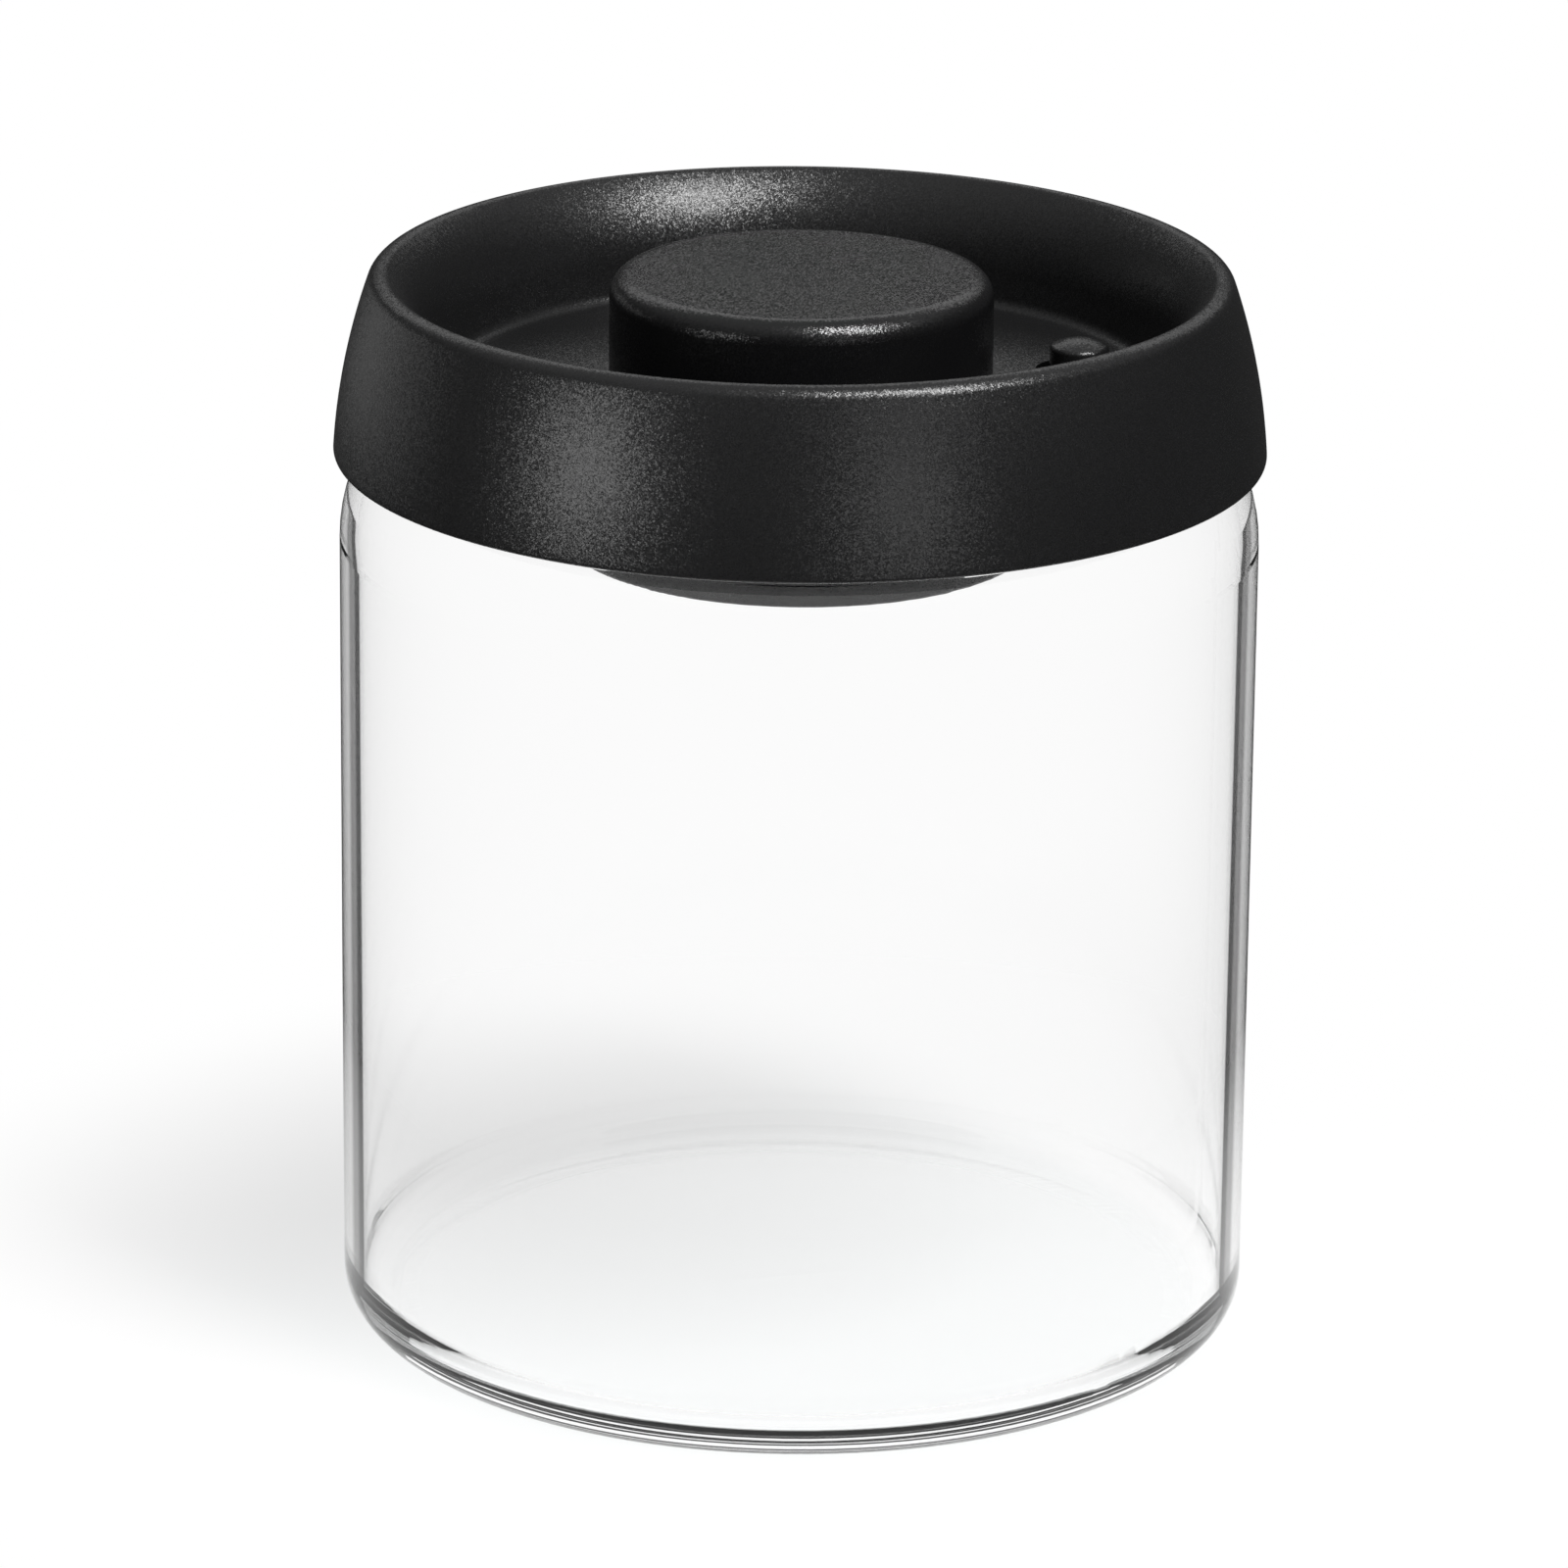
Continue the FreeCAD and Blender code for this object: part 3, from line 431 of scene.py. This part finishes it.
def turned(name, outline, turns):
    """Mesh object of a closed section turned once round the axis."""
    shape = bmesh.new()
    rings = []
    for turn in range(turns):
        angle = 2 * math.pi * turn / turns
        ring = []
        for r, z in outline:
            ring.append(shape.verts.new((r * MM * math.cos(angle), r * MM * math.sin(angle), z * MM)))
        rings.append(ring)
    for ring, after in zip(rings, rings[1:] + rings[:1]):
        for index in range(len(outline)):
            shape.faces.new((ring[index - 1], ring[index], after[index], after[index - 1]))
    bmesh.ops.recalc_face_normals(shape, faces=shape.faces)
    mesh = bpy.data.meshes.new(name)
    shape.to_mesh(mesh)
    shape.free()
    piece = bpy.data.objects.new(name, mesh)
    scene.collection.objects.link(piece)
    return piece


def upright_pin(name, x, radius, low, high):
    """Round pin, for cutting."""
    shape = bmesh.new()
    place = Matrix.Translation((x, 0, (low + high) / 2))
    bmesh.ops.create_cone(
        shape,
        cap_ends=True,
        segments=PIN_SIDES,
        radius1=radius,
        radius2=radius,
        depth=high - low,
        matrix=place,
    )
    mesh = bpy.data.meshes.new(name)
    shape.to_mesh(mesh)
    shape.free()
    pin = bpy.data.objects.new(name, mesh)
    scene.collection.objects.link(pin)
    return pin


def lug_nodes():
    """Tree of the snap lugs: one short bar bent round the axis, repeated at equal angles."""
    made = Nodes("snap lugs", {
        "Radius": "NodeSocketFloat",
        "Depth": "NodeSocketFloat",
        "Height": "NodeSocketFloat",
        "Level": "NodeSocketFloat",
        "Sweep": "NodeSocketFloat",
        "Count": "NodeSocketInt",
    })
    bend = made.node(
        "GeometryNodeCurveArc",
        {"Radius": made.inputs["Radius"], "Sweep Angle": made.inputs["Sweep"]},
        {"Resolution": LUG_POINTS, "Start Angle": 0.0},
    )
    bar = made.node(
        "GeometryNodeCurvePrimitiveQuadrilateral",
        {"Width": made.inputs["Depth"], "Height": made.inputs["Height"]},
    )
    lug = made.node(
        "GeometryNodeCurveToMesh",
        {"Curve": bend.outputs["Curve"], "Profile Curve": bar.outputs["Curve"]},
        {"Fill Caps": True},
    )
    points = made.node("GeometryNodePoints", {"Count": made.inputs["Count"]})
    step = made.sum("DIVIDE", 2 * math.pi, made.inputs["Count"])
    turn = made.sum("MULTIPLY", made.node("GeometryNodeInputIndex").outputs["Index"], step)
    start = made.sum("MULTIPLY", made.inputs["Sweep"], 0.5)
    spin = made.node("ShaderNodeCombineXYZ", {"Z": made.sum("SUBTRACT", turn, start)})
    lift = made.node("ShaderNodeCombineXYZ", {"Z": made.inputs["Level"]})
    lifted = made.node(
        "GeometryNodeSetPosition", {"Geometry": points.outputs["Points"], "Offset": lift.outputs["Vector"]}
    )
    lugs = made.node(
        "GeometryNodeInstanceOnPoints",
        {
            "Points": lifted.outputs["Geometry"],
            "Instance": lug.outputs["Mesh"],
            "Rotation": spin.outputs["Vector"],
        },
    )
    return made.finished(lugs.outputs["Instances"], FINISHES["black_plastic"])


def lid_cover():
    """Cover with snap lugs, and the well and hole of the release button. It stands for the CAD cover."""
    low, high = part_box("release_button")
    middle = (low.x + high.x) / 2
    blank = turned("cover blank", cover_outline(), COVER_TURNS)
    lugs = grown("snap lugs", lug_nodes(), {
        "Radius": (LUG_INSIDE + LUG_OUTSIDE) / 2 * MM,
        "Depth": (LUG_OUTSIDE - LUG_INSIDE) * MM,
        "Height": (LUG_HIGH - LUG_LOW) * MM,
        "Level": (LUG_LOW + LUG_HIGH) / 2 * MM,
        "Sweep": math.radians(LUG_ANGLE),
        "Count": LUG_COUNT,
    })
    above = (DECK_TOP + PIN_SPARE) * MM
    well = upright_pin("well pin", middle, WELL_RADIUS * MM, (DECK_TOP - WELL_DEPTH) * MM, above)
    hole = upright_pin("hole pin", middle, BUTTON_HOLE * MM, (DECK_UNDER - PIN_SPARE) * MM, above)
    for tool, operation in ((lugs, "UNION"), (well, "DIFFERENCE"), (hole, "DIFFERENCE")):
        step = blank.modifiers.new(tool.name, "BOOLEAN")
        step.object = tool
        step.operation = operation
        step.solver = "EXACT"
    depsgraph = bpy.context.evaluated_depsgraph_get()
    mesh = bpy.data.meshes.new_from_object(blank.evaluated_get(depsgraph))
    for spare in (blank, lugs, well, hole):
        bpy.data.objects.remove(spare)
    mesh.name = "moulded_cover"
    shape = bmesh.new()
    shape.from_mesh(mesh)
    bmesh.ops.dissolve_degenerate(shape, dist=SLIVER * MM, edges=shape.edges)
    shape.to_mesh(mesh)
    shape.free()
    mesh.shade_smooth()
    mesh.set_sharp_from_angle(angle=math.radians(CREASE))
    mesh.materials.clear()
    mesh.materials.append(FINISHES["black_plastic"])
    piece = bpy.data.objects.new("moulded_cover", mesh)
    scene.collection.objects.link(piece)
    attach(piece, "lid")
    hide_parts("lid_cover")


lid_cover()


# Springs
SPRINGS = {                 # CAD spring, joint that presses it, wire, turns, share that the ends close up
    "return_coil": ("return_spring", "knob_press", 1.1 * MM, 8, 0.4),
    "release_coil": ("release_spring", "release_press", 0.5 * MM, 6, 0.2),
}
TURN_POINTS = 48            # along the wire, for each turn
WIRE_SIDES = 14


def coil_nodes():
    """Tree of a coil spring: one wire round Z, with a pitch that tightens towards both ends."""
    made = Nodes("coil spring", {
        "Radius": "NodeSocketFloat",
        "Wire": "NodeSocketFloat",
        "Turns": "NodeSocketFloat",
        "Close": "NodeSocketFloat",
        "Bottom": "NodeSocketFloat",
        "Top": "NodeSocketFloat",
        "Axis": "NodeSocketVector",
    })
    wire_half = made.sum("MULTIPLY", made.inputs["Wire"], 0.5)
    height = made.sum("SUBTRACT", made.inputs["Top"], made.inputs["Bottom"])
    rise = made.sum("SUBTRACT", height, made.inputs["Wire"])
    low = made.sum("ADD", made.inputs["Bottom"], wire_half)
    spiral = made.node(
        "GeometryNodeCurveSpiral",
        {
            "Rotations": made.inputs["Turns"],
            "Start Radius": made.inputs["Radius"],
            "End Radius": made.inputs["Radius"],
        },
        {"Resolution": TURN_POINTS, "Height": 0.0},
    )
    share = made.node("GeometryNodeSplineParameter").outputs["Factor"]
    wave = made.sum("SINE", made.sum("MULTIPLY", share, 2 * math.pi), 0)
    slack = made.sum("MULTIPLY", made.sum("DIVIDE", wave, 2 * math.pi), made.inputs["Close"])
    climb = made.sum("ADD", low, made.sum("MULTIPLY", rise, made.sum("SUBTRACT", share, slack)))
    lift = made.node("ShaderNodeCombineXYZ", {"Z": climb})
    shift = made.node(
        "ShaderNodeVectorMath", {0: lift.outputs["Vector"], 1: made.inputs["Axis"]}, operation="ADD"
    )
    path = made.node(
        "GeometryNodeSetPosition", {"Geometry": spiral.outputs["Curve"], "Offset": shift.outputs["Vector"]}
    )
    ring = made.node("GeometryNodeCurvePrimitiveCircle", {"Radius": wire_half}, {"Resolution": WIRE_SIDES})
    tube = made.node(
        "GeometryNodeCurveToMesh",
        {"Curve": path.outputs["Geometry"], "Profile Curve": ring.outputs["Curve"]},
        {"Fill Caps": True},
    )
    smooth = made.node("GeometryNodeSetShadeSmooth", {"Geometry": tube.outputs["Mesh"]})
    return made.finished(smooth.outputs["Geometry"], FINISHES["steel"])


def coil(name, node, joint, wire, turns, close, nodes):
    """Spring that stands for a CAD spring and rides on the lid."""
    low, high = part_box(node)
    axis = Vector(((low.x + high.x) / 2, (low.y + high.y) / 2, 0))
    piece = grown(name, nodes, {
        "Radius": (high.y - low.y - wire) / 2,
        "Wire": wire,
        "Turns": float(turns),
        "Close": close,
        "Bottom": low.z,
        "Top": high.z,
        "Axis": axis,
    })
    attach(piece, "lid")
    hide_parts(node)
    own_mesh(piece)


spring_nodes = coil_nodes()
for coil_name, spring in SPRINGS.items():
    coil(coil_name, *spring, spring_nodes)


# Studio
FLOOR_RADIUS = 3.0
FLOOR_SIDES = 96
FLOOR_TONE = (0.86, 0.86, 0.86, 1)
SHADOW_RADIUS = 0.056       # the floor shows its own shade inside this, and fades to white outside it
WHITE_RADIUS = 0.13
SHADOW_WHITE = 0.60         # white share that the floor keeps in the shade
FOOT_RADIUS = 0.065         # round the jar's foot the floor is white in gloss too
WORLD_LIGHT = 0.35          # level of the surroundings as light
LOW_GLOSS = 0.04            # level of the surroundings in gloss: floor and skyline
HIGH_GLOSS = 0.40           # and overhead
SKYLINE = 0.3               # sines of the heights between which the one turns into the other
OVERHEAD = 0.9
LEAST_SEEN = 0.01           # a ray that sees less than this is one that lights
CAMERA_LENS = 207.7
CAMERA_SENSOR = 36.0
CAMERA_AZIMUTH = -14.5
CAMERA_PITCH = 18.30
CAMERA_ROLL = 0.55
CAMERA_REACH = 50.0
CAMERA_PLACE = Vector((-262.9, -1010.4, 412.3)) * MM
LAMP_AIM = Vector((0, 0, 0.118))     # middle of the lid
LAMPS = {                   # azimuth and elevation in degrees, distance, width, height, watts
    "key softbox": (43, 55, 1.0, 0.22, 0.48, 11),
    "left strip": (-48, 5, 0.24, 0.075, 0.090, 0.105),
    "left rim light": (-125, 0, 0.5, 0.40, 0.20, 0.10),
    "low front light": (24, 2, 0.6, 0.20, 0.24, 0.30),
    "back softbox": (180, 33, 1.0, 1.20, 0.36, 1.2),
}


def either(tree, first, second):
    """The larger of two outputs."""
    made = tree.nodes.new("ShaderNodeMath")
    made.operation = "MAXIMUM"
    tree.links.new(first, made.inputs[0])
    tree.links.new(second, made.inputs[1])
    return made.outputs["Value"]


def seen_level(tree, gloss_level):
    """Level at which a ray sees the white surroundings: 1 for sight and glass, less for gloss, else 0."""
    path = tree.nodes.new("ShaderNodeLightPath")
    gloss = tree.nodes.new("ShaderNodeMath")
    gloss.operation = "MULTIPLY"
    tree.links.new(path.outputs["Is Glossy Ray"], gloss.inputs[0])
    tree.links.new(gloss_level, gloss.inputs[1])
    sight = either(tree, path.outputs["Is Camera Ray"], path.outputs["Is Transmission Ray"])
    return either(tree, gloss.outputs["Value"], sight)


def pale_floor():
    """Pale matt floor that keeps a shadow near the object, runs out to white and is clear from below."""
    made = Finish("pale floor", {"Base Color": FLOOR_TONE, "Roughness": 0.9, "Specular IOR Level": 0.0})
    glow = made.node("ShaderNodeEmission", {"Color": (1, 1, 1, 1)})
    reach = made.node("ShaderNodeVectorMath", operation="LENGTH")
    made.link(made.place, reach.inputs[0])
    gloss = made.ranged(reach.outputs["Value"], 1.0, LOW_GLOSS, FOOT_RADIUS, WHITE_RADIUS)
    level = seen_level(made.tree, gloss)
    made.link(level, glow.inputs["Strength"])
    seen = made.node("ShaderNodeMath", {1: 0.0}, operation="GREATER_THAN")
    made.link(level, seen.inputs[0])
    far = made.node(
        "ShaderNodeMapRange",
        {"From Min": SHADOW_RADIUS, "From Max": WHITE_RADIUS, "To Min": SHADOW_WHITE},
        interpolation_type="SMOOTHSTEP",
    )
    made.link(reach.outputs["Value"], far.inputs["Value"])
    share = made.node("ShaderNodeMath", operation="MULTIPLY")
    made.link(far.outputs["Result"], share.inputs[0])
    made.link(seen.outputs["Value"], share.inputs[1])
    mixed = made.node("ShaderNodeMixShader")
    made.link(share.outputs["Value"], mixed.inputs["Fac"])
    made.link(made.shader.outputs["BSDF"], mixed.inputs[1])
    made.link(glow.outputs["Emission"], mixed.inputs[2])
    sided = made.node("ShaderNodeMixShader")
    made.link(made.node("ShaderNodeNewGeometry").outputs["Backfacing"], sided.inputs["Fac"])
    made.link(mixed.outputs["Shader"], sided.inputs[1])
    made.link(made.node("ShaderNodeBsdfTransparent").outputs["BSDF"], sided.inputs[2])
    made.link(sided.outputs["Shader"], made.output.inputs["Surface"])
    return made.material


def round_floor():
    """Flat disc under the object."""
    mesh = bpy.data.meshes.new("floor")
    shape = bmesh.new()
    bmesh.ops.create_circle(shape, cap_ends=True, segments=FLOOR_SIDES, radius=FLOOR_RADIUS)
    shape.to_mesh(mesh)
    shape.free()
    mesh.materials.append(pale_floor())
    piece = bpy.data.objects.new("floor", mesh)
    scene.collection.objects.link(piece)


def white_world():
    """White surroundings for what is seen, and a plain soft level for what is lit."""
    world = bpy.data.worlds.new("studio")
    world.use_nodes = True
    tree = world.node_tree
    ground = tree.nodes["Background"]
    ground.inputs["Color"].default_value = (1, 1, 1, 1)
    way = tree.nodes.new("ShaderNodeSeparateXYZ")
    tree.links.new(tree.nodes.new("ShaderNodeTexCoord").outputs["Generated"], way.inputs["Vector"])
    skyline = tree.nodes.new("ShaderNodeMapRange")
    skyline.inputs["From Min"].default_value = SKYLINE
    skyline.inputs["From Max"].default_value = OVERHEAD
    skyline.inputs["To Min"].default_value = LOW_GLOSS
    skyline.inputs["To Max"].default_value = HIGH_GLOSS
    tree.links.new(way.outputs["Z"], skyline.inputs["Value"])
    level = seen_level(tree, skyline.outputs["Result"])
    lit = tree.nodes.new("ShaderNodeMath")
    lit.operation = "LESS_THAN"
    lit.inputs[1].default_value = LEAST_SEEN
    tree.links.new(level, lit.inputs[0])
    strength = tree.nodes.new("ShaderNodeMath")
    strength.operation = "MULTIPLY_ADD"
    strength.inputs[1].default_value = WORLD_LIGHT
    tree.links.new(lit.outputs["Value"], strength.inputs[0])
    tree.links.new(level, strength.inputs[2])
    tree.links.new(strength.outputs["Value"], ground.inputs["Strength"])
    scene.world = world


def softbox(name, azimuth, elevation, distance, width, height, watts):
    """Flat lamp that faces the middle of the lid. Azimuth 0 is the camera's side, positive to its right."""
    lamp = bpy.data.lights.new(name, "AREA")
    lamp.shape = "RECTANGLE"
    lamp.size = width
    lamp.size_y = height
    lamp.energy = watts
    turn = math.radians(CAMERA_AZIMUTH + azimuth)
    rise = math.radians(elevation)
    out = Vector((math.sin(turn) * math.cos(rise), -math.cos(turn) * math.cos(rise), math.sin(rise)))
    holder = bpy.data.objects.new(name, lamp)
    holder.location = LAMP_AIM + out * distance
    holder.rotation_euler = (-out).to_track_quat("-Z", "Y").to_euler()
    scene.collection.objects.link(holder)
    return holder


def keep_out_of_glass(lamp):
    """Keeps the lamp's mirror image out of the jar, which shows plain white surroundings."""
    jar = bpy.data.collections.new(lamp.name + " jar")
    jar.objects.link(frame["nodes"]["glass_jar"])
    lamp.light_linking.receiver_collection = jar
    jar.collection_objects[0].light_linking.link_state = "EXCLUDE"
    lamp.visible_transmission = False


def studio_camera():
    """Long lens at the photograph's height and side."""
    lens = bpy.data.cameras.new("camera")
    lens.lens = CAMERA_LENS
    lens.sensor_width = CAMERA_SENSOR
    lens.clip_end = CAMERA_REACH
    holder = bpy.data.objects.new("camera", lens)
    turn = Matrix.Rotation(math.radians(CAMERA_AZIMUTH), 4, "Z")
    tip = Matrix.Rotation(math.radians(90 - CAMERA_PITCH), 4, "X")
    roll = Matrix.Rotation(math.radians(CAMERA_ROLL), 4, "Z")
    holder.matrix_world = Matrix.Translation(CAMERA_PLACE) @ turn @ tip @ roll
    scene.collection.objects.link(holder)
    scene.camera = holder


round_floor()
white_world()
for lamp_name, setting in LAMPS.items():
    keep_out_of_glass(softbox(lamp_name, *setting))
studio_camera()
scene.view_settings.view_transform = "Standard"
